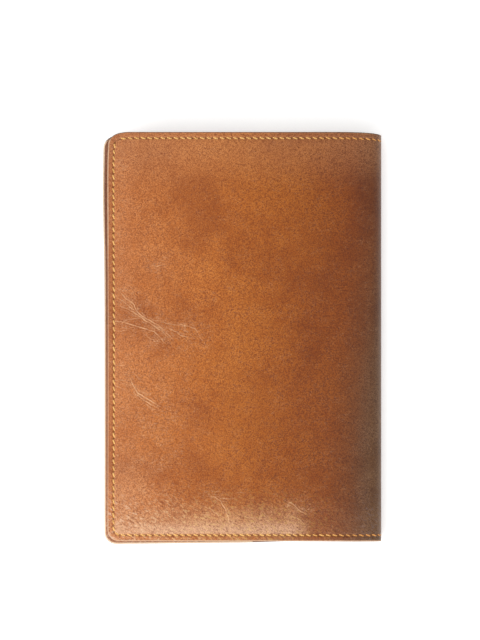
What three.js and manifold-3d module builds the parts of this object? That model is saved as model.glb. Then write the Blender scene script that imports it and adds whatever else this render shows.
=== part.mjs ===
// Stitched leather notebook cover, closed around the hardcover notebook that it holds.
//
// The cover lies flat with its front up. +Y points to the head, +X to the spine and +Z up, in
// millimetres. While it is built, x = 0 is the outside of the spine, y = 0 is the middle of the
// front cover and z = 0 is the underside. The last lines move the origin to the middle of the base.

import * as THREE from 'three';
import { mergeVertices } from 'three/addons/utils/BufferGeometryUtils.js';
import Module from 'manifold-3d';

const wasm = await Module();
wasm.setup();

// Leather cover
const COVER_HEIGHT = 222;
const COVER_WIDTH = 149;
const COVER_THICKNESS = 16;
const CORNER_RADIUS = 6.4;
const FOLD_RADIUS = 6.6;
const FOLD_SLIT = 0.3;

// The cover is closed a little askew, so the back shows past the front at the fore-edge and tail.
const OVERHANG_HEAD = 2.6;
const OVERHANG_TAIL = 1.7;
const SPINE_SLIP = 0.3;
const BACK_SLIP = 0.6;
const BACK_DROP = 1.6;

// Plies, from the outside in
const LEATHER = 1.4;
const LINING = 0.5;
const FLAP = 0.8;
const PLY_GAP = 0.1;

// Sleeve flaps
const FLAP_WIDTH = 80;
const FLAP_RIM = 3.8;

// Stitching, sunk in a groove
const STITCH_MARGIN = 3.4;
const GROOVE_WIDTH = 1.2;
const GROOVE_DEPTH = 0.6;
const THREAD_WIDTH = 0.8;
const THREAD_DEPTH = 0.45;
const THREAD_INSET = 0.05;

// Notebook
const NOTEBOOK_HEIGHT = 210;
const NOTEBOOK_SHIFT = -0.9;
const NOTEBOOK_CORNER = 6;
const BOARD = 1.5;
const BOARD_WIDTH = 126;
const BOARD_JOINT = 9;
const BOARD_OVERHANG = 3;
const SPINE_STRIP = 1;
const SPINE_STRIP_INSET = 2.6;
const PAGE_CLEARANCE = 0.4;
const PAGE_SPINE_INSET = 4.6;
const PAGE_SPLIT = 0.1;
const PAGE_HINGE_GAP = 0.15;

const ARC_STEPS = 6;
const FRONT = 1;
const BACK = -1;
const OUTSIDE = 1;

// Depths below the outside face of the cover
const liningTop = LEATHER + PLY_GAP;
const flapTop = liningTop + LINING + PLY_GAP;
const boardTop = flapTop;
const plateTop = boardTop + BOARD + PLY_GAP;
const pagesTop = plateTop + FLAP + PAGE_CLEARANCE;
const middle = COVER_THICKNESS / 2;

// Height of a depth below the front's or the back's outside face
function level(side, depth) {
  return middle + side * (middle - depth);
}

// Closed mesh as a solid for cutting and joining
function solid(geometry) {
  const bare = geometry.clone();
  bare.deleteAttribute('normal');
  bare.deleteAttribute('uv');
  const merged = mergeVertices(bare, 1e-4);
  return new wasm.Manifold(new wasm.Mesh({
    numProp: 3,
    vertProperties: new Float32Array(merged.attributes.position.array),
    triVerts: new Uint32Array(merged.index.array),
  }));
}

function toGeometry(body) {
  const mesh = body.getMesh();
  const geometry = new THREE.BufferGeometry();
  geometry.setAttribute('position', new THREE.BufferAttribute(mesh.vertProperties, 3));
  geometry.setIndex(new THREE.BufferAttribute(mesh.triVerts, 1));
  geometry.computeVertexNormals();
  return geometry;
}

function extrude(shape, depth) {
  return new THREE.ExtrudeGeometry(shape, { depth, bevelEnabled: false, curveSegments: ARC_STEPS });
}

// Plan outline with rounded fore-edge corners, from x = fore to x = spine
function outline(fore, spine, halfHeight, radius) {
  const shape = new THREE.Shape();
  shape.moveTo(spine, -halfHeight);
  shape.lineTo(spine, halfHeight);
  shape.absarc(fore + radius, halfHeight - radius, radius, Math.PI / 2, Math.PI, false);
  shape.absarc(fore + radius, radius - halfHeight, radius, Math.PI, 1.5 * Math.PI, false);
  return shape;
}

function coverOutline(inset, spine) {
  const radius = Math.max(CORNER_RADIUS - inset, 1);
  return outline(inset - COVER_WIDTH, spine, COVER_HEIGHT / 2 - inset, radius);
}

// Slab of a plan outline between two depths below the front's or the back's outside face
function slab(shape, side, top, bottom) {
  const geometry = extrude(shape, bottom - top);
  geometry.translate(0, 0, Math.min(level(side, top), level(side, bottom)));
  return geometry;
}

// Points round one bend at the spine, between two angles above (or below) the spine's plane
function bend(side, depth, from, to) {
  const radius = FOLD_RADIUS - depth;
  const points = [];
  for (let step = 0; step <= ARC_STEPS; step += 1) {
    const angle = from + (to - from) * step / ARC_STEPS;
    points.push(new THREE.Vector2(
      radius * Math.cos(angle) - FOLD_RADIUS,
      level(side, FOLD_RADIUS) + side * radius * Math.sin(angle),
    ));
  }
  return points;
}

const slitAngle = FOLD_SLIT / 2 / FOLD_RADIUS;
const panelAngle = Math.PI / 4 + slitAngle;
const spineAngle = Math.PI / 4 - slitAngle;

// Cross-section of a ply of the front or back, from past the fore-edge round half of its bend
function panelSection(side, top, bottom) {
  const far = -COVER_WIDTH - FOLD_RADIUS;
  return new THREE.Shape([
    new THREE.Vector2(far, level(side, top)),
    ...bend(side, top, Math.PI / 2, panelAngle),
    ...bend(side, bottom, panelAngle, Math.PI / 2),
    new THREE.Vector2(far, level(side, bottom)),
  ]);
}

// Cross-section of a ply of the spine, with half of the bend at either end
function spineSection(top, bottom) {
  return new THREE.Shape([
    ...bend(BACK, top, spineAngle, 0),
    ...bend(FRONT, top, 0, spineAngle),
    ...bend(FRONT, bottom, spineAngle, 0),
    ...bend(BACK, bottom, 0, spineAngle),
  ]);
}

// A cross-section run from tail to head, past both ends of the cover
function run(section) {
  const length = COVER_HEIGHT + 2 * FOLD_RADIUS;
  const geometry = extrude(section, length);
  geometry.rotateX(Math.PI / 2);
  geometry.translate(0, length / 2, 0);
  return geometry;
}

// Part of a cross-section that lies over a plan shape
function ply(section, plan) {
  const column = extrude(plan, COVER_THICKNESS + 2 * OUTSIDE);
  column.translate(0, 0, -OUTSIDE);
  return solid(run(section)).intersect(solid(column));
}

// Plan of the line of stitches round the three free edges of a panel
function stitchBand(width) {
  const outer = STITCH_MARGIN - width / 2;
  const inner = STITCH_MARGIN + width / 2;
  const halfHeight = COVER_HEIGHT / 2;
  const corner = CORNER_RADIUS - COVER_WIDTH;
  const arcY = halfHeight - CORNER_RADIUS;
  const shape = new THREE.Shape();
  shape.moveTo(OUTSIDE, halfHeight - inner);
  shape.lineTo(OUTSIDE, halfHeight - outer);
  shape.absarc(corner, arcY, CORNER_RADIUS - outer, Math.PI / 2, Math.PI, false);
  shape.absarc(corner, -arcY, CORNER_RADIUS - outer, Math.PI, 1.5 * Math.PI, false);
  shape.lineTo(OUTSIDE, outer - halfHeight);
  shape.lineTo(OUTSIDE, inner - halfHeight);
  shape.absarc(corner, -arcY, CORNER_RADIUS - inner, 1.5 * Math.PI, Math.PI, true);
  shape.absarc(corner, arcY, CORNER_RADIUS - inner, Math.PI, Math.PI / 2, true);
  return shape;
}

// Plan of the line of stitches over the spine at the head (end = 1) or the tail (end = -1)
function spineBand(end, width) {
  const line = end * (COVER_HEIGHT / 2 - STITCH_MARGIN);
  const shape = new THREE.Shape();
  shape.moveTo(-FOLD_RADIUS, line - width / 2);
  shape.lineTo(OUTSIDE, line - width / 2);
  shape.lineTo(OUTSIDE, line + width / 2);
  shape.lineTo(-FOLD_RADIUS, line + width / 2);
  return shape;
}

// Moves the back's plies to where they lie with the cover closed askew
function askew(geometry) {
  const position = geometry.attributes.position;
  const reach = COVER_WIDTH - FOLD_RADIUS;
  for (let index = 0; index < position.count; index += 1) {
    const x = position.getX(index);
    const y = position.getY(index);
    const out = Math.max(0, -FOLD_RADIUS - x) / reach;
    const overhang = THREE.MathUtils.lerp(OVERHANG_TAIL, OVERHANG_HEAD, y / COVER_HEIGHT + 0.5);
    position.setX(index, x - out * overhang);
    position.setY(index, y - BACK_SLIP - BACK_DROP * out);
  }
  geometry.computeVertexNormals();
  return geometry;
}

function settle(side, geometry) {
  return side === BACK ? askew(geometry) : geometry;
}

// Outer leather of the front or back, with its stitching groove
function panelLeather(side) {
  const leather = ply(panelSection(side, 0, LEATHER), coverOutline(0, OUTSIDE));
  const groove = ply(panelSection(side, -OUTSIDE, GROOVE_DEPTH), stitchBand(GROOVE_WIDTH));
  return settle(side, toGeometry(leather.subtract(groove)));
}

function panelLining(side) {
  const section = panelSection(side, liningTop, liningTop + LINING);
  return settle(side, toGeometry(ply(section, coverOutline(0, OUTSIDE))));
}

function panelThread(side) {
  const section = panelSection(side, THREAD_INSET, THREAD_INSET + THREAD_DEPTH);
  return settle(side, toGeometry(ply(section, stitchBand(THREAD_WIDTH))));
}

// Sleeve flap: a stitched rim on the lining, and a plate raised over the notebook's board
function sleeveFlap(side) {
  const mouth = FLAP_WIDTH - COVER_WIDTH;
  const rim = solid(slab(coverOutline(0, mouth), side, flapTop, flapTop + FLAP));
  const plate = solid(slab(coverOutline(FLAP_RIM, mouth), side, flapTop, plateTop + FLAP));
  const pocketPlan = coverOutline(FLAP_RIM + FLAP, mouth + OUTSIDE);
  const pocket = solid(slab(pocketPlan, side, flapTop - OUTSIDE, plateTop));
  return settle(side, toGeometry(rim.add(plate).subtract(pocket)));
}

function slip(geometry, distance) {
  geometry.translate(0, -distance, 0);
  return geometry;
}

function spineLeather() {
  let leather = ply(spineSection(0, LEATHER), coverOutline(0, OUTSIDE));
  for (const end of [1, -1]) {
    const groove = ply(spineSection(-OUTSIDE, GROOVE_DEPTH), spineBand(end, GROOVE_WIDTH));
    leather = leather.subtract(groove);
  }
  return slip(toGeometry(leather), SPINE_SLIP);
}

function spineLining() {
  const section = spineSection(liningTop, liningTop + LINING);
  return slip(toGeometry(ply(section, coverOutline(0, OUTSIDE))), SPINE_SLIP);
}

function spineThread(end) {
  const section = spineSection(THREAD_INSET, THREAD_INSET + THREAD_DEPTH);
  return slip(toGeometry(ply(section, spineBand(end, THREAD_WIDTH))), SPINE_SLIP);
}

const boardFore = -BOARD_JOINT - BOARD_WIDTH;

function board(side) {
  const shape = outline(boardFore, -BOARD_JOINT, NOTEBOOK_HEIGHT / 2, NOTEBOOK_CORNER);
  return slip(slab(shape, side, boardTop, boardTop + BOARD), -NOTEBOOK_SHIFT);
}

// Half of the leaves: the half that stays on the back board, or the half that turns with the front
function pages(side) {
  const spine = -PAGE_SPINE_INSET - PAGE_HINGE_GAP;
  const halfHeight = NOTEBOOK_HEIGHT / 2 - BOARD_OVERHANG;
  const shape = outline(boardFore + BOARD_OVERHANG, spine, halfHeight, NOTEBOOK_CORNER);
  return slip(slab(shape, side, pagesTop, middle - PAGE_SPLIT), -NOTEBOOK_SHIFT);
}

function spineStrip() {
  const depth = COVER_THICKNESS - 2 * pagesTop;
  const geometry = new THREE.BoxGeometry(SPINE_STRIP, NOTEBOOK_HEIGHT, depth);
  geometry.translate(-SPINE_STRIP_INSET - SPINE_STRIP / 2, NOTEBOOK_SHIFT, middle);
  return geometry;
}

const finishes = {
  leather: new THREE.MeshStandardMaterial({ color: 0xae6b3a, roughness: 0.5, metalness: 0 }),
  flapLeather: new THREE.MeshStandardMaterial({ color: 0x9c5a30, roughness: 0.6, metalness: 0 }),
  lining: new THREE.MeshStandardMaterial({ color: 0x8a5a36, roughness: 0.9, metalness: 0 }),
  thread: new THREE.MeshStandardMaterial({ color: 0xe0a04c, roughness: 0.6, metalness: 0 }),
  bookCloth: new THREE.MeshStandardMaterial({ color: 0x25221f, roughness: 0.7, metalness: 0 }),
  paper: new THREE.MeshStandardMaterial({ color: 0xf0e8d4, roughness: 0.9, metalness: 0 }),
};

const cover = new THREE.Group();

function add(name, geometry, finish) {
  const mesh = new THREE.Mesh(geometry, finish.clone());
  mesh.name = name;
  cover.add(mesh);
}

for (const [name, side] of [['front', FRONT], ['back', BACK]]) {
  add(`${name}_cover`, panelLeather(side), finishes.leather);
  add(`${name}_lining`, panelLining(side), finishes.lining);
  add(`${name}_flap`, sleeveFlap(side), finishes.flapLeather);
  add(`${name}_stitching`, panelThread(side), finishes.thread);
  add(`notebook_${name}_board`, board(side), finishes.bookCloth);
  add(`${name}_pages`, pages(side), finishes.paper);
}

add('spine_cover', spineLeather(), finishes.leather);
add('spine_lining', spineLining(), finishes.lining);
add('spine_head_stitching', spineThread(1), finishes.thread);
add('spine_tail_stitching', spineThread(-1), finishes.thread);
add('notebook_spine', spineStrip(), finishes.bookCloth);

const bounds = new THREE.Box3().setFromObject(cover);
const centre = bounds.getCenter(new THREE.Vector3());
cover.position.set(-centre.x, -centre.y, -bounds.min.z);

export default cover;
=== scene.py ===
"""Leather notebook cover, closed round the notebook that it holds: its looks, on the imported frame.

Shapes are worked out in millimetres on flat cuts, which are then folded round the notebook. A point
of a cut has s, its arc length along the cover's outside, from the front's fore-edge round the spine
to the back's; y, its height above the middle of the front; and its depth below the outside of the
leather.
"""
import math
import random
from types import SimpleNamespace

import bmesh
import bpy
import numpy as np
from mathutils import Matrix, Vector


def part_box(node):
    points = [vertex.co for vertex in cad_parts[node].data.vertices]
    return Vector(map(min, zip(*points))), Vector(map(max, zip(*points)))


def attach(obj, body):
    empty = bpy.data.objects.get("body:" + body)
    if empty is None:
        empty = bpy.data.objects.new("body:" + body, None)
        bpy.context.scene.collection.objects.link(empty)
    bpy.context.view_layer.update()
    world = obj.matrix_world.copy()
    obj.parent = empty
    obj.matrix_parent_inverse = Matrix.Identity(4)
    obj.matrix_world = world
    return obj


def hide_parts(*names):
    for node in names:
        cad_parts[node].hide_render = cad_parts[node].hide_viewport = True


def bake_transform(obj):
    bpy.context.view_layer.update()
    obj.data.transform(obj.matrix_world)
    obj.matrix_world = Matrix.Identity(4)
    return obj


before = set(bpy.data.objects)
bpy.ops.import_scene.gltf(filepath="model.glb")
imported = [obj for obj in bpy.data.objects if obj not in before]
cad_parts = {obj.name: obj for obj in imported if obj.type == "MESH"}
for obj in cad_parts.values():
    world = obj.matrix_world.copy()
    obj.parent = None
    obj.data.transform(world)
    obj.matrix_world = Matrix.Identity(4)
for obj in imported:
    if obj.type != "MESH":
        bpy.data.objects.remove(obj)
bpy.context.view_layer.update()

MM = 0.001


# ---- Sizes, in millimetres ----

def box_mm(node):
    low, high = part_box(node)
    return np.array(low) / MM, np.array(high) / MM


cover_low, cover_high = box_mm("front_cover")
SPINE_X = box_mm("spine_cover")[1][0]
TOP = cover_high[2]
FORE_X = cover_low[0]
WIDTH = SPINE_X - FORE_X
HALF = (cover_high[1] - cover_low[1]) / 2
MIDDLE_Y = (cover_high[1] + cover_low[1]) / 2

# Bends and corners, as in the CAD model
FOLD_RADIUS = 6.6
CORNER_RADIUS = 6.4

# The back lies askew under the front, and the leather slips round the spine with it.
OVERHANG = 1.85
OVERHANG_BULGE = 0.9
BULGE_Y = 82
BULGE_WIDTH = 34
BACK_SLIP = 0.6
BACK_DROP = 1.6
BACK_TAIL_SAG = 0.65

# Plies, as depths below the outside of the leather
LEATHER = 1.4
LINING_TOP = 1.5
LINING = 0.5
FLAP = 0.8
FLAP_WIDTH = 80
FLAP_TOP = TOP - box_mm("front_flap")[1][2]
PLATE_RISE = TOP - box_mm("front_flap")[0][2] - FLAP - FLAP_TOP
board_low, board_high = box_mm("notebook_front_board")
BOARD_TOP = TOP - board_high[2]
BOARD = board_high[2] - board_low[2]

# Stitching
STITCH_MARGIN = 3.4
STITCH_PITCH = 3.6
THREAD_RADIUS = 0.48

# Arc lengths along the outside of the cover
PANEL_LENGTH = WIDTH - FOLD_RADIUS
BEND_LENGTH = FOLD_RADIUS * math.pi / 2
SPINE_FLAT = TOP - 2 * FOLD_RADIUS
SEAM = PANEL_LENGTH + BEND_LENGTH + SPINE_FLAT / 2
TOTAL = 2 * SEAM

FRONT = 1
BACK = -1


def smooth(value, low, high):
    """0 below low, 1 above high, and a smooth step between them."""
    t = np.clip((np.asarray(value, float) - low) / (high - low), 0, 1)
    return t * t * (3 - 2 * t)


def bell(value, width):
    return np.exp(-(value / width) ** 2)


# ---- Folding a flat cut round the notebook ----

def section(s):
    """Places and outward normals along the outside of the cover's cross-section."""
    first = np.clip((s - PANEL_LENGTH) / FOLD_RADIUS, 0, math.pi / 2)
    second = np.clip((s - PANEL_LENGTH - BEND_LENGTH - SPINE_FLAT) / FOLD_RADIUS, 0, math.pi / 2)
    angle = first + second
    flat_front = np.minimum(s, PANEL_LENGTH)
    flat_spine = np.clip(s - PANEL_LENGTH - BEND_LENGTH, 0, SPINE_FLAT)
    flat_back = np.maximum(s - PANEL_LENGTH - 2 * BEND_LENGTH - SPINE_FLAT, 0)
    x = FORE_X + flat_front + FOLD_RADIUS * np.sin(angle) - flat_back
    z = TOP - FOLD_RADIUS * (1 - np.cos(angle)) - flat_spine
    return x, z, np.sin(angle), np.cos(angle)


# How far the free edges of the front sink below its middle, and over what width
TAIL_DROOP = (1.7, 27)
TAIL_LIP_DROOP = (1.3, 7)
HEAD_DROOP = (0.5, 14)
FORE_DROOP = (0.6, 14)


def droop(s, y):
    """How far the front's plies sink towards their free edges, where no board holds them up."""
    tail, head = HALF + y, HALF - y
    edges = (TAIL_DROOP, tail), (TAIL_LIP_DROOP, tail), (HEAD_DROOP, head), (FORE_DROOP, s)
    sunk = sum(depth * np.clip(1 - inset / width, 0, 1.1) ** 2 for (depth, width), inset in edges)
    return sunk * smooth(PANEL_LENGTH - s, 0, 55)


# How far handling has pulled the front's plies from their cut
CORNER_PULL = 0.28
CORNER_KINK = 0.25
FORE_BOW = 0.38
CORNER_DROP = 1.1
TAIL_SLIDE = 0.6
HEAD_SLIDE = 0.45


def front_drift(s, y):
    """How far the front's plies lie from their cut, to the right and down: the head corner is
    pulled in, and the head and tail have both slid a little towards the tail."""
    head = HALF - y
    right = CORNER_PULL * smooth(head, 28, 6) + CORNER_KINK * bell(head - 7, 3.5)
    right = (right + FORE_BOW * bell(y + 14, 85)) * smooth(s, 60, 0)
    down = CORNER_DROP * smooth(s, 11, 2) * smooth(head, 20, 3)
    down = down + TAIL_SLIDE * smooth(HALF + y, 25, STITCH_MARGIN)
    down = down + HEAD_SLIDE * smooth(head, 60, 10)
    front = smooth(s, SEAM, PANEL_LENGTH - 10)
    return right * front, down * front


# How far the ends of the spine slip towards the tail, and over what height they do
HEAD_DRAWN_IN = 1.8
TAIL_LET_OUT = 0.6
SPINE_END = 30


def spine_ends(s, y):
    """How far the ends of the spine slip towards the tail: the head is drawn in by pulling the book
    off its shelf, and the tail is let out a little."""
    drawn_in = HEAD_DRAWN_IN * bell(s - SEAM, 13) * smooth(y, HALF - SPINE_END, HALF)
    let_out = TAIL_LET_OUT * bell(s - SEAM, 12) * smooth(-y, HALF - SPINE_END, HALF)
    return drawn_in + let_out


def place(s, y, depth, skewed=True):
    """Folds points of the flat cut round the notebook."""
    x, z, normal_x, normal_z = section(s)
    sunk = depth + droop(s, y)
    x = x - normal_x * sunk
    z = z - normal_z * sunk
    if skewed:
        inset = TOTAL - s
        out = np.where(s > SEAM, np.clip((SPINE_X - FOLD_RADIUS - x) / PANEL_LENGTH, 0, 1), 0)
        bulge = OVERHANG_BULGE * bell(y - BULGE_Y, BULGE_WIDTH) * smooth(inset, 40, 0)
        slip = BACK_SLIP * smooth(s, PANEL_LENGTH, TOTAL - PANEL_LENGTH) + BACK_DROP * out
        tail_sag = BACK_TAIL_SAG * smooth(inset, 115, 70) * smooth(-y, HALF - 40, HALF) * (s > SEAM)
        right, down = front_drift(s, y)
        x = x - out * OVERHANG - bulge * (s > SEAM) + right
        y = y - slip - tail_sag - spine_ends(s, y) - down
    return np.stack([x, y + MIDDLE_Y, z], axis=-1)


def place_stiff(s, y, depth):
    """Lays points of the notebook's boards and leaves, which no fold bends. Their droop dies away
    towards the middle leaves."""
    held = np.clip((TOP / 2 - depth) / (TOP / 2 - BOARD_TOP - BOARD), 0, 1)
    sunk = depth + droop(s, y) * held
    z = np.where(s < SEAM, TOP - sunk, sunk)
    return np.stack([FORE_X + np.minimum(s, TOTAL - s), y + MIDDLE_Y, z], axis=-1)


# How far from its corner the grid of a cut starts to bend into it
TURN_MARGIN = 1.6


class Cut:
    """A flat cut with two rounded corners at its fore-edge, which the front or back lies on.

    Its own grid coordinates are a, the distance from its fore-edge, and y, the height above its
    middle. b is the distance from its head or tail, whichever is nearer.
    """

    def __init__(self, side, reach, fore=0.0, half=HALF, corner=CORNER_RADIUS, middle=0.0,
                 skewed=True, stiff=False):
        self.side = side
        self.reach = reach
        self.fore = fore
        self.half = half
        self.corner = corner
        self.middle = middle
        self.skewed = skewed
        self.stiff = stiff
        self.turn = corner + TURN_MARGIN

    def half_turn(self, share, inset):
        """Walks along a line at an inset from the edge, from where the corner starts (share 0) to
        its diagonal (share 1). Returns the distances from the far edge and the near edge."""
        straight = self.turn - np.maximum(self.corner, inset)
        radius = np.maximum(self.corner - inset, 0)
        walked = share * (straight + radius * math.pi / 4)
        angle = np.where(radius > 0, np.maximum(walked - straight, 0) / np.maximum(radius, 1e-9), 0)
        far = self.turn - np.minimum(walked, straight) - radius * np.sin(angle)
        return far, inset + radius * (1 - np.cos(angle))

    def turned(self, a, b):
        """How far towards its corner's diagonal each point of the grid is, from 0 to 1."""
        share = (self.turn - np.maximum(a, b)) / np.maximum(self.turn - np.minimum(a, b), 1e-9)
        return np.clip(share, 0, 1)

    def round_corner(self, a, b):
        """Bends the square corner of the grid into a round one and keeps each inset as it is."""
        inset = np.minimum(np.minimum(a, b), self.turn)
        far, near = self.half_turn(self.turned(a, b), inset)
        inside = np.maximum(a, b) < self.turn
        new_a = np.where(a < b, near, far)
        new_b = np.where(a < b, far, near)
        return np.where(inside, new_a, a), np.where(inside, new_b, b)

    def inset(self, a, y):
        """Distance of points of the grid from the nearest free edge."""
        return np.minimum(a, self.half - np.abs(y))

    def flat(self, a, y):
        """Arc length along the cover and height of points of the grid."""
        new_a, new_b = self.round_corner(a, self.half - np.abs(y))
        s = self.fore + new_a
        if self.side == BACK:
            s = TOTAL - s
        return s, np.where(y < 0, new_b - self.half, self.half - new_b) + self.middle

    def points(self, a, y, depth):
        s, height = self.flat(a, y)
        if self.stiff:
            return place_stiff(s, height, depth)
        return place(s, height, depth, self.skewed)

    # The line of stitches starts at the head of the far end and runs round the three free edges.

    def corner_length(self):
        return (self.turn - self.corner) + (self.corner - STITCH_MARGIN) * math.pi / 4

    def row_half(self):
        return self.reach - self.turn + 2 * self.corner_length() + self.half - self.turn

    def row_distance(self, a, y):
        """How far along the line of stitches each point of the grid is."""
        b = self.half - np.abs(y)
        turned = self.turned(a, b) * self.corner_length()
        start = self.reach - self.turn
        end = start + 2 * self.corner_length()
        by_head = start - np.maximum(a - self.turn, 0) + turned
        by_fore = end + np.maximum(b - self.turn, 0) - turned
        along = np.where(b <= a, by_head, by_fore)
        return np.where(y > 0, along, 2 * self.row_half() - along)

    def row_point(self, distance):
        """The place of one point of the line of stitches on the flat cut."""
        tail = distance > self.row_half()
        along = 2 * self.row_half() - distance if tail else distance
        start = self.reach - self.turn
        length = self.corner_length()
        if along < start:
            a, b = self.reach - along, STITCH_MARGIN
        elif along < start + length:
            a, b = self.half_turn((along - start) / length, STITCH_MARGIN)
        elif along < start + 2 * length:
            b, a = self.half_turn(2 - (along - start) / length, STITCH_MARGIN)
        else:
            a, b = STITCH_MARGIN, self.turn + along - start - 2 * length
        s = self.fore + float(a)
        y = self.half - float(b)
        return np.array([s if self.side == FRONT else TOTAL - s, -y if tail else y])


# ---- Meshes ----

SHARP_ANGLE = math.radians(60)


def add_values(mesh, key, values):
    """Stores a number or a vector for each point of a mesh."""
    values = np.asarray(values, np.float32)
    kind, field = ("FLOAT", "value") if values.ndim == 1 else ("FLOAT_VECTOR", "vector")
    mesh.attributes.new(key, kind, "POINT").data.foreach_set(field, values.ravel())


def read_vectors(mesh, key):
    values = np.zeros(len(mesh.vertices) * 3, np.float32)
    mesh.attributes[key].data.foreach_get("vector", values)
    return values.reshape(-1, 3).astype(float)


def add_mesh(name, points, faces, **attributes):
    """Makes a mesh object from points in millimetres, with named values or vectors on its points."""
    mesh = bpy.data.meshes.new(name)
    mesh.from_pydata((np.asarray(points) * MM).tolist(), [], faces)
    mesh.shade_smooth()
    for key, values in attributes.items():
        add_values(mesh, key, values)
    shape = bmesh.new()
    shape.from_mesh(mesh)
    bmesh.ops.recalc_face_normals(shape, faces=shape.faces)
    for edge in shape.edges:
        edge.smooth = edge.calc_face_angle(0) < SHARP_ANGLE
    shape.to_mesh(mesh)
    shape.free()
    piece = bpy.data.objects.new(name, mesh)
    bpy.context.scene.collection.objects.link(piece)
    return piece


def stops(*spans):
    """Grid lines: each span is its start, its end and the widest step allowed in it."""
    lines = []
    for start, end, step in spans:
        count = max(1, math.ceil(round((end - start) / step, 6)))
        lines.extend(np.linspace(start, end, count + 1)[:-1])
    lines.append(spans[-1][1])
    return np.array(lines)


def grid_lines(cut, edge, step, *across):
    """Lines of a sheet's grid, across it and along its height. edge holds the spans at its free
    edges, step is the widest step within them, and across the spans from there to the far end
    where one step isn't enough."""
    inner = edge[-1][1]
    a_lines = stops(*edge, *(across or [(inner, cut.reach, step)]))
    lines = stops(*edge, (inner, cut.half, step))[:-1]
    return a_lines, np.concatenate([lines - cut.half, (cut.half - lines)[::-1]])


def grid_faces(indices):
    quads = np.stack([indices[:-1, :-1], indices[1:, :-1], indices[1:, 1:], indices[:-1, 1:]], -1)
    return quads.reshape(-1, 4)


def rim_of(indices):
    """The points round the outside of a grid, in order."""
    return np.concatenate([
        indices[:-1, 0], indices[-1, :-1], indices[:0:-1, -1], indices[0, :0:-1],
    ])


def rounding(inset, radius):
    """How far a rounded edge has fallen at each distance from it."""
    short = np.clip(radius - inset, 0, radius)
    return radius - np.sqrt(radius ** 2 - short ** 2)


# Width of the band that counts as a sheet's edge
EDGE_BAND = 0.55


def build_sheet(name, cut, lines, top, bottom, radius, free_end=False, rings=()):
    """Builds a closed sheet on a grid, between two depths, which are numbers or functions of it.

    Its free edges are rounded. rings are (depth, inset) of extra lines round its cut edge.
    """
    def from_edge(a, y):
        inset = cut.inset(a, y)
        return np.minimum(inset, cut.reach - a) if free_end else inset

    a, y = np.meshgrid(*lines, indexing="ij")
    fall = rounding(from_edge(a, y), radius)
    top_depth = (top(cut, a, y) if callable(top) else top) + fall
    bottom_depth = (bottom(cut, a, y) if callable(bottom) else bottom) - fall
    indices = np.arange(a.size).reshape(a.shape)
    rim = rim_of(indices)
    rim_a, rim_y = a.ravel()[rim], y.ravel()[rim]
    layers = [(a.ravel(), y.ravel(), top_depth.ravel())]
    loops = [rim]
    for depth, cut_in in rings:
        ring_a = np.clip(rim_a, cut_in, cut.reach - cut_in if free_end else cut.reach)
        ring_y = np.clip(rim_y, cut_in - cut.half, cut.half - cut_in)
        loops.append(a.size + (len(layers) - 1) * len(rim) + np.arange(len(rim)))
        layers.append((ring_a, ring_y, np.full(len(rim), depth)))
    below = a.size + len(rings) * len(rim)
    loops.append(rim + below)
    layers.append((a.ravel(), y.ravel(), bottom_depth.ravel()))
    all_a, all_y, all_depth = (np.concatenate(values) for values in zip(*layers))

    faces = [grid_faces(indices)[:, ::-1], grid_faces(indices + below)]
    for upper, lower in zip(loops, loops[1:]):
        faces.append(np.stack([upper, np.roll(upper, -1), np.roll(lower, -1), lower], -1))

    s, height = cut.flat(all_a, all_y)
    from_row = cut.inset(all_a, all_y) - STITCH_MARGIN
    side = np.repeat([0, 0.5, 1], [a.size, len(rim) * len(rings), a.size])
    return add_mesh(
        name,
        cut.points(all_a, all_y, all_depth),
        np.concatenate(faces).tolist(),
        flat=np.stack([s, height, all_depth], -1),
        stitch=np.stack([cut.row_distance(all_a, all_y), from_row, side], -1),
        edge=bell(from_edge(all_a, all_y), EDGE_BAND),
    )


# Spans of grid lines across the stitching groove, and from the leather's edge to past the groove
GROOVE = (2.3, 4.5, 0.22)
LEATHER_EDGE = ((0, 0.06, 0.06), (0.06, 0.15, 0.09), (0.15, 0.45, 0.15), (0.45, 2.3, 0.37), GROOVE)


# ---- Outer leather ----

GROOVE_DEPTH = 0.42
TOOLED_LINE = 1.15
TOOLED_DEPTH = 0.1
SWELL = 0.45

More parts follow.
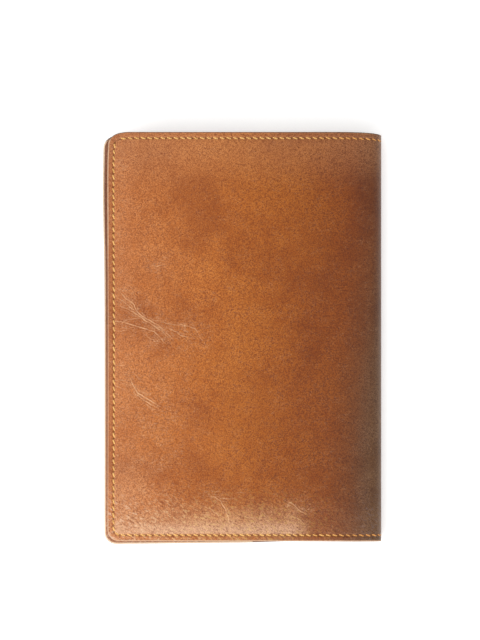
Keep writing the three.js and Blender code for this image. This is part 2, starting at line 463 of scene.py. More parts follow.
# Creases of the front: how strong each one is, and its points on the flat cut, from the fore-edge
# and above the middle. Neighbours are in different sets, because a point of the mesh keeps only its
# distance to the nearest crease of a set.
CREASE_SETS = (
    (
        (1.0, (5.4, 25.6), (9.2, 21), (14.1, 17.2), (16, 13), (19.5, 10), (24, 7.8), (28.7, 4.8),
         (33, 1)),
        (0.9, (1.5, 8.6), (4, 7.8), (8.6, 7.3), (12.5, 6.1), (17.1, 4.8), (21.7, 3.5), (25.5, 2),
         (28.7, -0.7), (31, -4)),
        (0.6, (38.8, 5.5), (44.2, 5.1), (48.1, 3.5), (51.2, -1.5)),
        (0.5, (24, 39), (26.5, 37.6), (31, 38.4)),
        (1.25, (12.5, -23.5), (14, -27), (16.2, -31), (19.5, -33), (24, -35.6), (28.8, -38.6)),
        (0.9, (54, -86.8), (58.6, -87.4), (62, -90), (64, -93.6), (65.8, -98.4), (68.2, -109)),
        (0.7, (96.8, -89.4), (102, -91.8), (104.6, -95), (108.6, -96.4)),
        (0.5, (31, -88.6), (33.5, -90)),
    ),
    (
        (0.9, (6.3, 16.3), (10.8, 14.7), (15.6, 12), (20.2, 8.6), (25.6, 5.2), (30.4, 1.8), (34, -1.5)),
        (0.6, (7.8, 7.3), (11.7, 9), (17.1, 9.5)),
        (0.7, (31.8, 5.1), (36.5, 2.4), (39.6, 0.4), (42.7, -0.7), (46, -0.9)),
        (1.0, (16.3, -32), (19, -34.6), (22.6, -36.4), (25.6, -38.2), (28, -39.8)),
        (0.5, (60.6, -88), (66, -88.6), (70, -88)),
        (0.5, (50, -96.6), (55, -96.8), (59, -98.4)),
        (0.6, (3, -15.8), (6, -16.3), (10, -15.7)),
        (0.6, (3, -24.3), (6.5, -23.7), (10.5, -24.6)),
        (0.5, (3, -26.6), (7, -28.3), (10, -29)),
    ),
    (
        (0.6, (4.3, 21), (8, 18.8), (12.5, 15.4), (16.6, 12)),
        (0.5, (23.5, 8.3), (28.3, 8.2), (33.2, 6.5), (38, 5.9), (42.8, 5.6), (47, 4.5)),
        (0.6, (25.5, 6.4), (29.5, 3.3), (33.5, 0.2), (36.5, -3)),
        (0.5, (19.9, 0.6), (23.5, -1.4), (26.5, -3.9)),
        (0.5, (49.4, -0.1), (51.9, -2.6)),
        (0.5, (15.6, -28.4), (19, -30.6), (22.6, -31.8)),
        (0.6, (52, -92.4), (56.4, -93.8), (60.5, -97.2), (63, -102.6)),
        (0.5, (73, -97.2), (77.4, -98.6), (81, -98.2)),
        (0.5, (99, -97.4), (103.4, -98.8), (107, -101.6)),
        (0.5, (2.4, 3.4), (6.4, 2.2), (11, 3.1)),
    ),
)
CREASE_REACH = 4.0
CREASE_DEPTH = 0.16
CREASE_STEP = 0.35
WRINKLED_WIDTH = 7


def crease_path(points, rng):
    """A slightly wandering line through the points, with its strength falling off at both ends."""
    corners = np.array(points, float)
    spans = np.linalg.norm(np.diff(corners, axis=0), axis=1)
    reached = np.concatenate([[0], np.cumsum(spans)])
    along = np.arange(0, reached[-1], CREASE_STEP)
    line = np.stack([np.interp(along, reached, corners[:, k]) for k in (0, 1)], -1)
    kernel = np.hanning(9) / np.hanning(9).sum()
    for k in (0, 1):
        padded = np.pad(line[:, k], 4, mode="edge")
        wander = np.convolve(rng.normal(0, 0.25, len(along) + 8), kernel, mode="valid")
        line[:, k] = np.convolve(padded, kernel, mode="valid") + wander
    share = along / max(along[-1], 1e-6)
    patchy = 0.75 + 0.25 * np.sin(along * 0.9 + rng.uniform(0, 6))
    return line, np.sin(np.pi * np.clip(share, 0.03, 0.97)) ** 0.5 * patchy


def crease_fields(s, y):
    """For each set, the signed distance to its nearest crease and how strong that is, and then how
    near any crease is."""
    rng = np.random.default_rng(11)
    where = np.stack([s.ravel(), y.ravel()], -1)
    near = np.zeros(len(where))
    fields = []
    for creases in CREASE_SETS:
        best = np.full(len(where), 99.0)
        signed = np.full(len(where), 9.0)
        weight = np.zeros(len(where))
        for strength, *points in creases:
            line, taper = crease_path(points, rng)
            low = line.min(0) - 2.5 * WRINKLED_WIDTH
            high = line.max(0) + 2.5 * WRINKLED_WIDTH
            inside = np.flatnonzero(np.all((where > low) & (where < high), axis=1))
            steps = where[inside, None] - line[None]
            gaps = np.linalg.norm(steps, axis=2)
            closest = gaps.argmin(1)
            rows = np.arange(len(inside))
            gap, step = gaps[rows, closest], steps[rows, closest]
            heading = np.gradient(line, axis=0)[closest]
            heading = heading / np.linalg.norm(heading, axis=1)[:, None]
            across = heading[:, 0] * step[:, 1] - heading[:, 1] * step[:, 0]
            past_end = np.sqrt(np.maximum(gap ** 2 - across ** 2, 0))
            here = strength * taper[closest] * bell(past_end, 0.8) * smooth(gap, CREASE_REACH, 2)
            closer = gap < best[inside]
            chosen = inside[closer]
            best[chosen] = gap[closer]
            signed[chosen] = across[closer]
            weight[chosen] = here[closer]
            near[inside] = np.maximum(near[inside], strength * bell(gap, WRINKLED_WIDTH))
        fields.append((signed.reshape(s.shape), weight.reshape(s.shape)))
    return fields, near.reshape(s.shape)


def swell(s, y):
    """Soft unevenness of the front, where the leather stands off the board."""
    waves = (
        0.5 + 0.2 * np.sin(s / 17 + 1.1 + 0.6 * np.sin(y / 31))
        + 0.18 * np.sin(y / 21 + 0.4 + 0.7 * np.sin(s / 27))
        + 0.12 * np.sin((s + y) / 11)
    )
    held = smooth(s, 4, 30) * smooth(HALF - np.abs(y), 4, 30) * smooth(PANEL_LENGTH - s, 0, 25)
    return SWELL * waves * held


def leather_top(cut, a, y):
    """Depth of the outside face: the stitching groove, the tooled line by the edge and creases."""
    inset = cut.inset(a, y)
    groove = GROOVE_DEPTH * bell(inset - STITCH_MARGIN, 0.62)
    depth = groove + TOOLED_DEPTH * bell(inset - TOOLED_LINE, 0.28)
    if cut.side == FRONT:
        s, height = cut.flat(a, y)
        fields, _ = crease_fields(s, height)
        for signed, weight in fields:
            depth = depth + CREASE_DEPTH * weight * bell(signed, 0.5)
        depth = depth - swell(s, height)
    return depth


def front_lines():
    """Grid lines of the front, which are finer where it is creased."""
    a_lines = stops(*LEATHER_EDGE, (4.5, 72, 0.6), (72, SEAM, 1.1))
    up_to_head = stops(*LEATHER_EDGE, (4.5, 27, 0.6), (27, 66, 1.3), (66, 88, 0.6), (88, 110, 1.3),
                       (110, 139, 0.6), (139, 2 * HALF - 4.5, 1.3))
    head = (HALF - stops(*LEATHER_EDGE)[:-1])[::-1]
    return a_lines, np.concatenate([up_to_head - HALF, head])


def cover_leather(name, side):
    """Half of the outer leather, from its fore-edge to the middle of the spine."""
    cut = Cut(side, SEAM)
    lines = front_lines() if side == FRONT else grid_lines(cut, LEATHER_EDGE, 1.5)
    piece = build_sheet(name, cut, lines, leather_top, LEATHER, 0.45)
    s, y, depth = read_vectors(piece.data, "flat").T
    outside = depth < LEATHER / 2
    if side == FRONT:
        fields, wrinkled = crease_fields(s, y)
        for number, (signed, weight) in enumerate(fields):
            field = np.stack([signed, weight * outside, 0 * signed], -1)
            add_values(piece.data, f"creases_{number}", field)
        by_fore_edge = 0.55 * bell(s - 5, 7)
        below_creases = 0.75 * bell(s - 20, 24) * bell(y + 52, 36)
        by_tail = 0.6 * smooth(HALF + y, 30, 8) * smooth(s, 112, 90)
        wrinkled = np.maximum.reduce([wrinkled, by_fore_edge, below_creases, by_tail])
    else:
        wrinkled = 0.6 * bell(s - TOTAL + 40, 16) * bell(y + 30, 30)
    add_values(piece.data, "wrinkled", wrinkled * outside)
    return piece


# ---- Lining and sleeve flaps ----

def lining(name, side):
    cut = Cut(side, SEAM)
    lines = grid_lines(cut, ((0, 0.2, 0.1), (0.2, 2.4, 1.1), GROOVE), 4,
                       (4.5, PANEL_LENGTH, 4), (PANEL_LENGTH, SEAM, 0.8))
    return build_sheet(name, cut, lines, LINING_TOP, LINING_TOP + LINING, 0.15)


def flap_rise(cut, a, y):
    """How far the flap is lifted from the rim, which is stitched down, over the notebook's board."""
    lifted = smooth(a, 4.2, 12) * smooth(cut.half - np.abs(y), 4.0, 4.9)
    return FLAP_TOP + PLATE_RISE * lifted


def flap_face(cut, a, y):
    """The flap's face, which the stitches press in."""
    pressed = 0.25 * bell(cut.inset(a, y) - STITCH_MARGIN, 0.5)
    mouth_line = 0.1 * bell(cut.reach - a - 1.6, 0.3)
    return flap_rise(cut, a, y) + FLAP - pressed - mouth_line


def sleeve_flap(name, side):
    cut = Cut(side, FLAP_WIDTH)
    edge = ((0, 0.1, 0.1), (0.1, 0.4, 0.15), (0.4, 2.3, 0.63), GROOVE, (4.5, 5.1, 0.2))
    mouth, lip = FLAP_WIDTH - 2.4, FLAP_WIDTH - 0.4
    lines = grid_lines(cut, edge, 2.5, (5.1, 13, 0.8), (13, mouth, 2.5), (mouth, lip, 0.25),
                       (lip, FLAP_WIDTH, 0.1))
    piece = build_sheet(name, cut, lines, flap_rise, flap_face, 0.25, free_end=True)
    add_values(piece.data, "wrinkled", 0.5 * bell(read_vectors(piece.data, "flat")[:, 1], 70))
    return piece


# ---- Stitches ----

RINGS = 11
RING_POINTS = 8
THREAD_FLATNESS = 0.92
OUTER_LEVEL = THREAD_RADIUS - 0.06
HOLE_SHARE = 0.02


def stitch_profile(share):
    """Side step, lift and thickness along a stitch, from its first hole to the next."""
    side = 0.46 * np.cos(np.pi * share)
    lift = np.sin(np.pi * share) ** 0.42
    thick = 0.62 + 0.38 * np.sin(np.pi * share) ** 0.6
    return side, lift, thick


def stitch_row(name, cut, level, sunk, slant=1.0, radius=THREAD_RADIUS, seed=5, corner=True):
    """One stitch after another round the three free edges of a cut.

    level is the depth of a stitch's middle line, or a function of where it starts and ends. sunk is
    how much deeper its ends go, and corner whether the stitch at the head corner shows.
    """
    rng = random.Random(seed)
    count = round(2 * cut.row_half() / STITCH_PITCH)
    pitch = 2 * cut.row_half() / count
    at_corner = int((cut.reach - cut.turn + cut.corner_length()) / pitch)
    shares = np.linspace(0, 1, RINGS)[:, None]
    turns = np.arange(RING_POINTS) * 2 * math.pi / RING_POINTS
    side, lift, thick = stitch_profile(shares)
    tube = np.arange(RINGS * RING_POINTS).reshape(RINGS, RING_POINTS)
    walls = grid_faces(np.hstack([tube, tube[:, :1]]))
    points, faces, strand = [], [], []
    for number in range(count):
        if number == at_corner and not corner:
            continue
        start = cut.row_point((number + HOLE_SHARE) * pitch)
        end = cut.row_point((number + 1 - HOLE_SHARE) * pitch)
        if (end - start) @ (1, -1) < 0:
            start, end = end, start
        along = (end - start) / np.linalg.norm(end - start)
        across = np.array([-along[1], along[0]])
        lean = slant * (along[0] ** 2 - along[1] ** 2) * (1 + rng.uniform(-0.15, 0.15))
        size = radius * rng.uniform(0.93, 1.06) * thick
        aside = side * lean + np.cos(turns) * size
        where = start + (end - start) * shares[..., None] + across * aside[..., None]
        middle = level(start, end) if callable(level) else level
        depth = middle + rng.uniform(-0.03, 0.03) + sunk * (1 - lift)
        first = len(points) * tube.size
        for face in (*walls, tube[0], tube[-1]):
            faces.append((face + first).tolist())
        points.append(np.dstack([where, depth - np.sin(turns) * size * THREAD_FLATNESS]))
        strand.append(np.dstack(np.broadcast_arrays(shares * pitch, turns, number + 0.5)))
    cut_points = np.array(points).reshape(-1, 3)
    placed = place(*cut_points.T)
    return add_mesh(name, placed, faces, strand=np.array(strand).reshape(-1, 3), flat=cut_points)


def inner_level(start, end):
    """Stitches lie on the flap's rim, and past its mouth on the lining."""
    middle = (start[0] + end[0]) / 2
    on_flap = min(middle, TOTAL - middle) < FLAP_WIDTH
    return (FLAP_TOP + FLAP if on_flap else LINING_TOP + LINING) - 0.1


# ---- Notebook ----

page_low, page_high = box_mm("front_pages")
NOTEBOOK_CORNER = 6
PAGES_TOP = TOP - page_high[2]
PAGES = page_high[2] - page_low[2]
CLOTH = 0.25
PASTEDOWN = 0.098
PASTEDOWN_SUNK = 0.035
PASTEDOWN_INSET = 2.5
GUTTER_FALL = 0.9
GUTTER_WIDTH = 11
LEAF_LAYERS = 14
LEAF_UNEVENNESS = 0.16


def notebook_cut(side, low, high, inset=0.0):
    """Cut of a board or a page, given its CAD node's box."""
    return Cut(side, high[0] - low[0] - 2 * inset, fore=low[0] - FORE_X + inset,
               half=(high[1] - low[1]) / 2 - inset, corner=NOTEBOOK_CORNER - inset,
               middle=(high[1] + low[1]) / 2 - MIDDLE_Y, stiff=True)


def board(name, side):
    cut = notebook_cut(side, board_low, board_high)
    end = cut.reach
    lines = grid_lines(cut, ((0, 0.12, 0.06), (0.12, 0.6, 0.16), (0.6, 2, 0.7)), 5,
                       (2, end - 1, 5), (end - 1, end - 0.3, 0.35), (end - 0.3, end, 0.1))
    return build_sheet(name, cut, lines, BOARD_TOP, BOARD_TOP + BOARD, 0.45, free_end=True)


def pastedown(name, side):
    cut = notebook_cut(side, board_low, board_high, PASTEDOWN_INSET)
    lines = grid_lines(cut, ((0, 1, 0.5),), 5)
    top = BOARD_TOP + BOARD - PASTEDOWN_SUNK
    return build_sheet(name, cut, lines, top, top + PASTEDOWN, 0.02, free_end=True)


def gutter(cut, a, y):
    """The leaves curve away from the opening as they near the spine."""
    return PAGES_TOP + PAGES - GUTTER_FALL * smooth(cut.reach - a, GUTTER_WIDTH, 0) ** 2


def leaves(name, side, seed):
    """Half of the leaves. Their cut edges are a little uneven."""
    rng = random.Random(seed)
    cut = notebook_cut(side, page_low, page_high)
    rings = []
    for k in range(1, LEAF_LAYERS):
        depth = PAGES_TOP + k / LEAF_LAYERS * (PAGES - 0.75)
        rings.append((depth, rng.uniform(0.0, LEAF_UNEVENNESS)))
    lines = grid_lines(cut, ((0, 0.3, 0.15),), 4, (0.3, cut.reach - 10, 4),
                       (cut.reach - 10, cut.reach, 0.8))
    return build_sheet(name, cut, lines, PAGES_TOP, gutter, 0.06, free_end=True, rings=rings)


def joint_cut(side):
    """Cut of the cloth of the notebook's joint, from the edge of a board to the spine's middle."""
    fore = board_high[0] - FORE_X + 0.1
    return Cut(side, SEAM - fore, fore=fore, half=(board_high[1] - board_low[1]) / 2, corner=0.2,
               middle=(board_high[1] + board_low[1]) / 2 - MIDDLE_Y, skewed=False)


def cloth_top(cut, a, y):
    return BOARD_TOP + CLOTH * smooth(a, 1, 8)


def cloth_bottom(cut, a, y):
    return cloth_top(cut, a, y) + CLOTH


def case_cloth(name, side):
    """Cloth of the notebook's joint, which sinks by its own thickness past the board's edge."""
    cut = joint_cut(side)
    lines = grid_lines(cut, ((0, 0.2, 0.1),), 4, (0.2, cut.reach, 0.6))
    return build_sheet(name, cut, lines, cloth_top, cloth_bottom, 0.08)


# ---- Shader nodes ----

WHITE = (1.0, 1.0, 1.0)


class Value:
    """An output of a node. Arithmetic on it adds further nodes."""

    def __init__(self, shader, socket):
        self.shader = shader
        self.socket = socket

    def __add__(self, other):
        return self.shader.math("ADD", self, other)

    def __sub__(self, other):
        return self.shader.math("SUBTRACT", self, other)

    def __rsub__(self, other):
        return self.shader.math("SUBTRACT", other, self)

    def __mul__(self, other):
        return self.shader.math("MULTIPLY", self, other)

    def __truediv__(self, other):
        return self.shader.math("DIVIDE", self, other)

    def __pow__(self, other):
        return self.shader.math("POWER", self, other)

    def __abs__(self):
        return self.shader.math("ABSOLUTE", self)


class Shader:
    """The nodes of a new material or world. Most methods add a node and return its output."""

    def __init__(self, owner):
        self.owner = owner
        owner.use_nodes = True
        self.nodes = owner.node_tree.nodes
        self.links = owner.node_tree.links
        self.nodes.clear()

    def set(self, socket, value):
        if isinstance(value, Value):
            self.links.new(value.socket, socket)
        elif isinstance(value, tuple) and socket.type == "RGBA":
            socket.default_value = (*value, 1)
        else:
            socket.default_value = value

    def add(self, kind, inputs=(), output=0, **settings):
        """Adds a node. inputs are its first inputs in order, or a dictionary by number or name."""
        node = self.nodes.new(kind)
        for key, value in settings.items():
            setattr(node, key, value)
        for key, value in inputs.items() if isinstance(inputs, dict) else enumerate(inputs):
            self.set(node.inputs[key], value)
        return Value(self, node.outputs[output])

    def attribute(self, name, output="Vector"):
        return self.add("ShaderNodeAttribute", (), output, attribute_name=name)

    def split(self, vector):
        node = self.add("ShaderNodeSeparateXYZ", (vector,)).socket.node
        return [Value(self, socket) for socket in node.outputs]

    def join(self, x, y, z):
        return self.add("ShaderNodeCombineXYZ", (x, y, z))

    def vector(self, operation, first, second, output=0):
        return self.add("ShaderNodeVectorMath", (first, second), output, operation=operation)

    def math(self, operation, first, second=0.0, clamp=False):
        return self.add("ShaderNodeMath", (first, second), operation=operation, use_clamp=clamp)

    def range(self, value, low, high, to_low=0.0, to_high=1.0, step="SMOOTHSTEP"):
        """to_low at low, to_high at high, and a step between them."""
        return self.add("ShaderNodeMapRange", (value, low, high, to_low, to_high),
                        interpolation_type=step)

    def noise(self, vector, size, detail=2.0, rough=0.5, twist=0.0):
        """Noise with features of about the given size, in millimetres."""
        return self.add("ShaderNodeTexNoise", {"Vector": vector, "Scale": 1 / size, "Detail": detail,
                                               "Roughness": rough, "Distortion": twist})

    def cells(self, vector, size):
        return self.add("ShaderNodeTexVoronoi", {"Vector": vector, "Scale": 1 / size}, "Distance")

    def ramp(self, value, stops):
        """Colours at given values from 0 to 1, with smooth steps between them."""
        colour = self.add("ShaderNodeValToRGB", (value,))
        scale = colour.socket.node.color_ramp
        scale.interpolation = "B_SPLINE"
        for position, _ in stops[1:-1]:
            scale.elements.new(position)
        for element, (position, tone) in zip(scale.elements, stops):
            element.position = position
            element.color = (*tone, 1)
        return colour

    def mix(self, factor, first, second, blend="MIX"):
        return self.add("ShaderNodeMix", {0: factor, 6: first, 7: second}, 2,
                        data_type="RGBA", blend_type=blend)

    def bump(self, height):
        """Bump from a height in millimetres."""
        return self.add("ShaderNodeBump", {"Height": height, "Distance": MM})

    def finish(self, colour, roughness, normal, specular=0.5, sheen=0.0, glow=0.0):
        surface = self.add("ShaderNodeBsdfPrincipled", {
            "Base Color": colour,
            "Roughness": roughness,
            "Normal": normal,
            "Specular IOR Level": specular,
            "Sheen Weight": sheen,
            "Emission Color": WHITE,
            "Emission Strength": glow,
        })
        return self.output("ShaderNodeOutputMaterial", surface)

    def output(self, kind, shader):
        """Adds the output node and links the finished shader to it."""
        self.set(self.nodes.new(kind).inputs[0], shader)
        return self.owner


def new_material(name):
    return Shader(bpy.data.materials.new(name))


# ---- Leather ----

# Tint of the outer leather by distance from the middle of the spine, as a share of SEAM: painted
# shade, which deepens towards the spine and turns grey round its bend
SPINE_SHADE_TINTS = (
    (0.0, (0.30, 0.44, 0.63)),
    (0.055, (0.24, 0.33, 0.53)),
    (0.11, (0.30, 0.26, 0.19)),
    (0.2, (0.44, 0.29, 0.06)),
    (0.39, (0.63, 0.49, 0.13)),
    (0.67, (0.92, 0.80, 0.35)),
    (0.95, WHITE),
)

# dye is from light to dark, then how far the pale places show, painted highlight with some abrasion,
# the least and most painted highlight on the bevel, and the painted shade towards the head
OUTER_LOOK = SimpleNamespace(
    dye=((0.59, 0.212, 0.064), (0.465, 0.139, 0.030), (0.18, 0.034, 0.005)),
    paled=(0.68, 0.37, 0.19),
    spine_shade_tints=SPINE_SHADE_TINTS,
    head_shade_tone=WHITE,
    pale_share=1.0,
    bevel_highlight_share=(0.45, 0.85),
    bevel_highlight_tone=(0.60, 0.38, 0.23),
)
FLAP_LOOK = SimpleNamespace(
    dye=((0.55, 0.26, 0.14), (0.46, 0.19, 0.09), (0.25, 0.09, 0.04)),
    paled=(0.60, 0.36, 0.20),
    spine_shade_tints=((0.0, WHITE), (1.0, WHITE)),
    head_shade_tone=(0.47, 0.42, 0.46),
    pale_share=0.4,
    bevel_highlight_share=(0.8, 1.0),
    bevel_highlight_tone=(0.86, 0.66, 0.45),
)
TAIL_HIGHLIGHT_TONE = (0.76, 0.455, 0.285)
FLECK_TONE = (0.80, 0.37, 0.16)
CREASE_TONE = (0.75, 0.43, 0.22)
HOLE_SHADE_TONE = (0.20, 0.085, 0.024)
CUT_TONE = (0.06, 0.043, 0.028)


# In these functions m is the leather's Shader, and v the values that leather_values makes.

def leather_values(m):
    """Places and noises that the layers of the leather share."""
    v = SimpleNamespace(flat=m.attribute("flat"))
    v.s, v.y, _ = m.split(v.flat)
    v.tail = v.y + HALF
    v.head = HALF - v.y
    v.along_row, v.from_row, _ = m.split(m.attribute("stitch"))
    v.from_spine = abs(v.s / SEAM - 1.0)
    v.edge = m.attribute("edge", "Fac")
    v.wrinkled = m.attribute("wrinkled", "Fac")
    v.cloud = m.noise(v.flat, 48, 3, 0.55, 0.4)
    v.blotch = m.noise(v.flat, 8, 3, 0.6, 0.5)
    v.mottle = m.noise(v.flat, 1.5, 3, 0.7)
    v.speck = m.noise(v.flat, 0.45, 1, 0.6)
    v.fibre = m.noise(v.flat, 0.3, 2, 0.6)
    wobble = m.vector("SUBTRACT", m.noise(v.flat, 1.6), (0.5, 0.5, 0.5))
    grain_at = m.vector("ADD", v.flat, m.vector("MULTIPLY", wobble, (0.9, 0.9, 0.9)))
    v.pebble = m.cells(grain_at, 0.95)
    v.pores = m.range(m.cells(grain_at, 1.5), 0.34, 0.16) * m.range(v.blotch, 0.36, 0.58)
    return v


def dye_and_painted_shade(m, v, look):
    """The cloudy dye, and a tint of painted shade, which deepens towards the spine."""
    light, deep, dark = look.dye
    tint = m.ramp(v.from_spine + m.range(v.y, -80, 80, -0.03, 0.055), look.spine_shade_tints)
    # Painted shade towards the head, on the flap where the front overhangs it
    head_shade_tint = m.mix(1.0, tint, look.head_shade_tone, "MULTIPLY")
    tint = m.mix(m.range(v.y, -40, 70, 0.0, 0.9), tint, head_shade_tint)
    tone = v.cloud * 0.5 + v.blotch * 0.3 + v.mottle * 0.2
    colour = m.mix(m.range(tone, 0.34, 0.64), deep, light)
    colour = m.mix(m.range(v.cloud, 0.52, 0.3, 0.0, 0.3), colour, dark)
    return m.mix(1.0, colour, tint, "MULTIPLY"), tint


def paint_wear_and_highlight(m, v, look, colour):
    """Pales the leather by the tail's stitches and in the tail corner, as painted highlight with some
    abrasion, and a little at the head, and paints a band of highlight just above the tail's stitches."""
    tail = m.range(v.tail, 24, 6) * m.range(v.from_spine, 0.26, 0.37, 0.1, 1.0)
    corner = m.range(v.tail, 55, 25) * m.range(v.from_spine, 0.76, 0.97, 0.0, 0.5)
    wear_and_highlight = m.math("MAXIMUM", tail, corner) * m.range(v.blotch, 0.3, 0.65, 0.4, 0.75)
    wear_and_highlight = wear_and_highlight * m.range(v.from_row, -0.7, 0.2, 0.25, 1.0)
    wear_and_highlight = wear_and_highlight + m.range(v.head, 36, 4, 0.0, 0.2)
    colour = m.mix(wear_and_highlight * look.pale_share, colour, look.paled)
    # Painted highlight in a band just above the tail's stitches
    tail_highlight = m.range(v.tail, 12, 6) * m.range(v.from_row, 0.4, 1.2)
    tail_highlight = tail_highlight * m.range(v.from_spine, 0.28, 0.36) * m.range(v.from_spine, 0.95, 0.75, 0.3, 0.6)
    return m.mix(tail_highlight * look.pale_share, colour, TAIL_HIGHLIGHT_TONE), wear_and_highlight


def add_grain(m, v, tint, shade, wear_and_highlight, colour):
    """Dark specks and pores, and lighter flecks."""
    speckle = v.pebble * 0.15 + v.mottle * 0.25 + v.speck * 0.6
    specks = m.range(speckle, 0.42, 0.6, 0.0, 0.7) * m.range(wear_and_highlight, 0.2, 0.9, 1.0, 0.65)
    colour = m.mix(specks, colour, shade)
    colour = m.mix(v.pores * 0.65, colour, shade)
    flecks = m.range(m.noise(v.flat, 0.6, 2, 0.6), 0.56, 0.74, 0.0, 0.5)
    return m.mix(flecks, colour, m.mix(1.0, tint, FLECK_TONE, "MULTIPLY"))


def tail_strokes(m, v):
    """Slanted strokes where the tail sags: how far each point is raised and sunken."""
    along = v.s * 0.87 + v.y * -0.5
    across = v.s * 0.5 + v.y * 0.87
    stroke = m.noise(m.join(along * 0.42, across, 0.0), 1.1, 2, 0.6, 0.6)
    sagging = m.range(v.tail, 34, 10) * m.range(v.from_spine, 0.1, 0.4, 0.3, 1.0)
    return m.range(stroke, 0.52, 0.66) * sagging, m.range(stroke, 0.46, 0.34) * sagging


def fine_wrinkles(m, v):
    """Fine wrinkles, mostly beside the creases, and finer crinkles between them."""
    fold_at = m.vector("MULTIPLY", v.flat, (1.0, 1.9, 1.0))
    folds = m.range(abs(m.noise(fold_at, 5.5, 2, 0.5, 1.2) - 0.5), 0.022, 0.0)
    fine = folds * m.range(v.blotch, 0.42, 0.6) * m.math("ADD", v.wrinkled, 0.22, clamp=True)
    crinkle = m.range(abs(m.noise(fold_at, 2.0, 1, 0.5, 0.8) - 0.5), 0.035, 0.0)
    return fine, crinkle * v.wrinkled


def crease_lines(m, v):
    """Sharp lines along the creases, with fainter ones beside them, from their distances."""
    wander = (m.noise(v.flat, 2.2) - 0.5) * 0.5
    patchy = m.range(m.noise(v.flat, 2.4, 1), 0.4, 0.58, 0.0, 0.7)
    lines = 0.0
    for number in range(len(CREASE_SETS)):
        signed, weight, _ = m.split(m.attribute(f"creases_{number}"))
        gap = signed + wander
        beside = m.range(m.math("PINGPONG", gap, 0.65), 0.22, 0.05) * patchy
        beside = beside * m.range(abs(gap), 3.4, 0.6)
        both = m.math("MAXIMUM", m.range(abs(gap), 0.35, 0.1), beside)
        lines = m.math("MAXIMUM", both * weight, lines)
    return lines


def shade_stitching(m, v, dark, colour):
    """Paints shade into the stitches' holes and the channel they lie in, and darkens the margin beyond
    them, which on the flap is partly painted shadow from the front's edge.
    """
    off_middle = abs(m.math("FRACT", v.along_row / ROW_PITCH) - 0.5)
    from_hole = (0.5 - off_middle) * ROW_PITCH
    hole = m.range((from_hole ** 2.0 + v.from_row ** 2.0 * 2.2) ** 0.5, 0.85, 0.25)
    margin = m.range(v.from_spine, 0.94, 0.98) * m.range(v.tail, 20, 50)
    margin = margin * m.range(v.from_row, 0.4, -0.6, 0.0, 0.24)
    colour = m.mix(margin, colour, dark)
    colour = m.mix(m.range(abs(v.from_row), 0.75, 0.3) * 0.25, colour, dark)
    return m.mix(hole * 0.6, colour, HOLE_SHADE_TONE), hole


def paint_edge_highlight_and_shade(m, v, look, colour):
    """Paints highlight on the bevelled edges, less at the head, and darkens the cut itself, partly as
    its own stain and partly as painted shade, more so at the head.
    """
    least, most = look.bevel_highlight_share
    bevel = m.range(v.edge, 0.14, 0.36) * m.range(v.edge, 0.985, 0.92)
    bevel = bevel * m.range(v.mottle, 0.3, 0.6, least, most)
    bevel = bevel * m.range(abs(v.y + 27), 60, 80, least, 1.0)
    at_head = m.range(v.head, 4, 1.5)
    colour = m.mix(bevel * (1.0 - at_head * 0.85), colour, look.bevel_highlight_tone)
    return m.mix(m.range(v.edge + at_head * 0.3, 0.94, 0.99, 0.0, 0.93), colour, CUT_TONE)


def leather_material(name, look):
    """Waxed pull-up leather: pebbled grain, cloudy dye, pale creases, dark edges that are partly
    burnished and partly painted shade, and painted shade and highlight on the cover.
    """
    m = new_material(name)
    v = leather_values(m)
    dark = look.dye[-1]
    colour, tint = dye_and_painted_shade(m, v, look)
    shade = m.mix(1.0, tint, dark, "MULTIPLY")
    colour, wear_and_highlight = paint_wear_and_highlight(m, v, look, colour)
    colour = add_grain(m, v, tint, shade, wear_and_highlight, colour)
    raised, sunken = tail_strokes(m, v)
    # Raised strokes are painted pale as highlight, and sunken ones dark as painted shade
    colour = m.mix(raised * 0.5, colour, m.mix(0.7, tint, look.paled, "MULTIPLY"))
    colour = m.mix(sunken * 0.4, colour, shade)
    fine, crinkle = fine_wrinkles(m, v)
    creased = crease_lines(m, v)
    pale = m.math("MINIMUM", creased * 0.95 + fine * 0.55 + crinkle * 0.4, 1.0)
    colour = m.mix(pale, colour, m.mix(creased, look.paled, CREASE_TONE))
    colour, hole = shade_stitching(m, v, dark, colour)
    colour = paint_edge_highlight_and_shade(m, v, look, colour)

    grain = v.pebble * -0.06 + v.mottle * 0.06 + v.speck * 0.1 + v.fibre * 0.03
    hollows = v.blotch * 0.12 + v.pores * -0.06 + hole * -0.3
    folds = fine * 0.06 + crinkle * 0.08 + creased * 0.08 + raised * 0.08 + sunken * -0.08
    roughness = v.cloud * 0.08 + v.mottle * 0.12 + v.pebble * 0.1 + pale * 0.08 + 0.24
    return m.finish(colour, roughness, m.bump(grain + hollows + folds), specular=0.3)


# ---- Other materials ----

CLOTH_TONES = ((0.016, 0.015, 0.015), (0.05, 0.047, 0.044))
WARP_PITCH = 0.55
WEFT_PITCH = 0.5


def suede_material():
    """Brushed suede lining: soft nap with lighter and darker strokes."""
    m = new_material("suede_lining")
    flat = m.attribute("flat")
    edge = m.attribute("edge", "Fac")
    strokes = m.noise(m.vector("MULTIPLY", flat, (1.0, 0.35, 1.0)), 7, 3, 0.6, 0.8)
    nap = m.noise(flat, 0.28, 3, 0.7)
    tuft = m.noise(flat, 1.3, 2, 0.6)
    tone = strokes * 0.5 + tuft * 0.25 + nap * 0.25
    colour = m.mix(m.range(tone, 0.35, 0.65), (0.16, 0.075, 0.035), (0.30, 0.15, 0.075))
    colour = m.mix(m.range(edge, 0.5, 1.0) * 0.6, colour, (0.09, 0.04, 0.02))
    roughness = m.range(tone, 0.3, 0.7, 0.96, 0.84)
    return m.finish(colour, roughness, m.bump(nap * 0.09 + tuft * 0.08 + strokes * 0.05), sheen=0.35)


